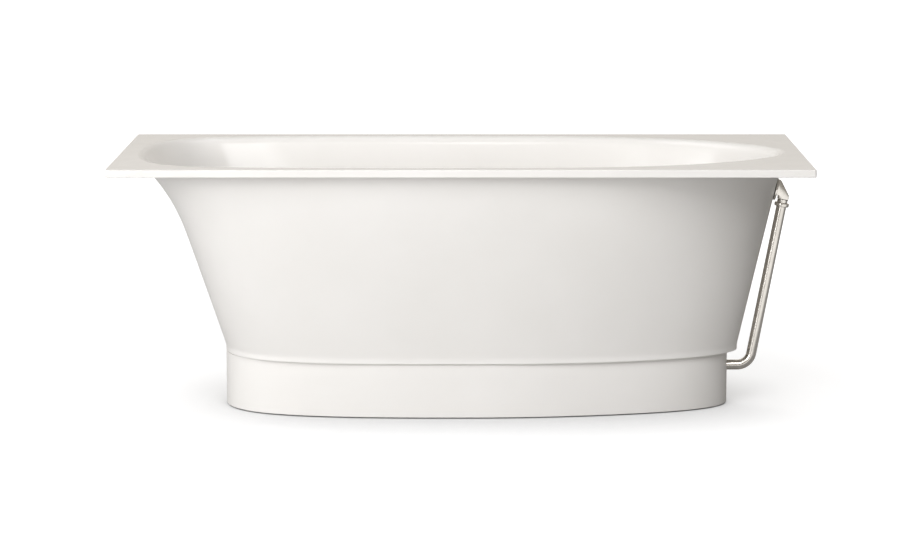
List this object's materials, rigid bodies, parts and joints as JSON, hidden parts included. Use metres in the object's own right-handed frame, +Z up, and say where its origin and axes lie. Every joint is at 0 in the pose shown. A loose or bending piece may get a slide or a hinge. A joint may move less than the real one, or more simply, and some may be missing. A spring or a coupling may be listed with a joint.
{
  "type": "alcove bathtub",
  "caption": "Rectangular-decked bathtub: tapering oval basin on an oval plinth, with a click plug, an exposed metal overflow pipe at one end and levelling feet.",
  "frame": {"origin": "floor level under the centre of the rectangular deck", "axes": "+X towards the overflow and waste end, +Y towards the back edge of the deck, +Z up"},
  "size_m": [1.7, 0.75, 0.64],
  "materials": {
    "mineral": "satin",
    "sealant": "matte",
    "polished_nickel": "polished",
    "polished_chrome": "polished",
    "brass": "satin",
    "zinc_steel": "satin",
    "spring_steel": "satin",
    "seal_rubber": "matte",
    "white_plastic": "satin",
    "block_plastic": "matte",
    "foot_plastic": "matte"
  },
  "bodies": {
    "bath": {"bath_shell": "mineral", "click_barrel": "brass", "click_spring": "spring_steel", "foot_block_nose_back": "block_plastic", "foot_block_nose_front": "block_plastic", "foot_block_toe_back": "block_plastic", "foot_block_toe_front": "block_plastic", "foot_inserts": "brass", "foot_locknuts": "zinc_steel", "inlet_nut": "white_plastic", "inlet_washer": "seal_rubber", "outlet_nut": "white_plastic", "outlet_pipe": "white_plastic", "outlet_washer": "seal_rubber", "overflow_collar": "polished_nickel", "overflow_cover": "polished_chrome", "overflow_elbow": "polished_nickel", "overflow_gasket": "seal_rubber", "overflow_screw": "polished_chrome", "overflow_tube": "polished_nickel", "overflow_washer": "seal_rubber", "plinth_bead": "sealant", "plinth_ring": "mineral", "waste_body": "white_plastic", "waste_flange": "polished_chrome", "waste_gasket_lower": "seal_rubber", "waste_gasket_upper": "seal_rubber"},
    "plug": {"plug_cap": "polished_chrome", "plug_seal": "seal_rubber", "plug_stem": "brass"},
    "foot_toe_front": {"foot_stud_toe_front": "zinc_steel", "foot_pad_toe_front": "foot_plastic"},
    "foot_toe_back": {"foot_stud_toe_back": "zinc_steel", "foot_pad_toe_back": "foot_plastic"},
    "foot_nose_front": {"foot_stud_nose_front": "zinc_steel", "foot_pad_nose_front": "foot_plastic"},
    "foot_nose_back": {"foot_stud_nose_back": "zinc_steel", "foot_pad_nose_back": "foot_plastic"}
  },
  "joints": [
    {"name": "plug_lift", "type": "slide", "parent": "bath", "child": "plug", "axis": [0, 0, 1], "range_m": [0, 0.009], "deforming": ["click_spring"]},
    {"name": "foot_toe_front_height", "type": "slide", "parent": "bath", "child": "foot_toe_front", "axis": [0, 0, -1], "range_m": [-0.003, 0.012]},
    {"name": "foot_toe_back_height", "type": "slide", "parent": "bath", "child": "foot_toe_back", "axis": [0, 0, -1], "range_m": [-0.003, 0.012]},
    {"name": "foot_nose_front_height", "type": "slide", "parent": "bath", "child": "foot_nose_front", "axis": [0, 0, -1], "range_m": [-0.003, 0.012]},
    {"name": "foot_nose_back_height", "type": "slide", "parent": "bath", "child": "foot_nose_back", "axis": [0, 0, -1], "range_m": [-0.003, 0.012]}
  ]
}
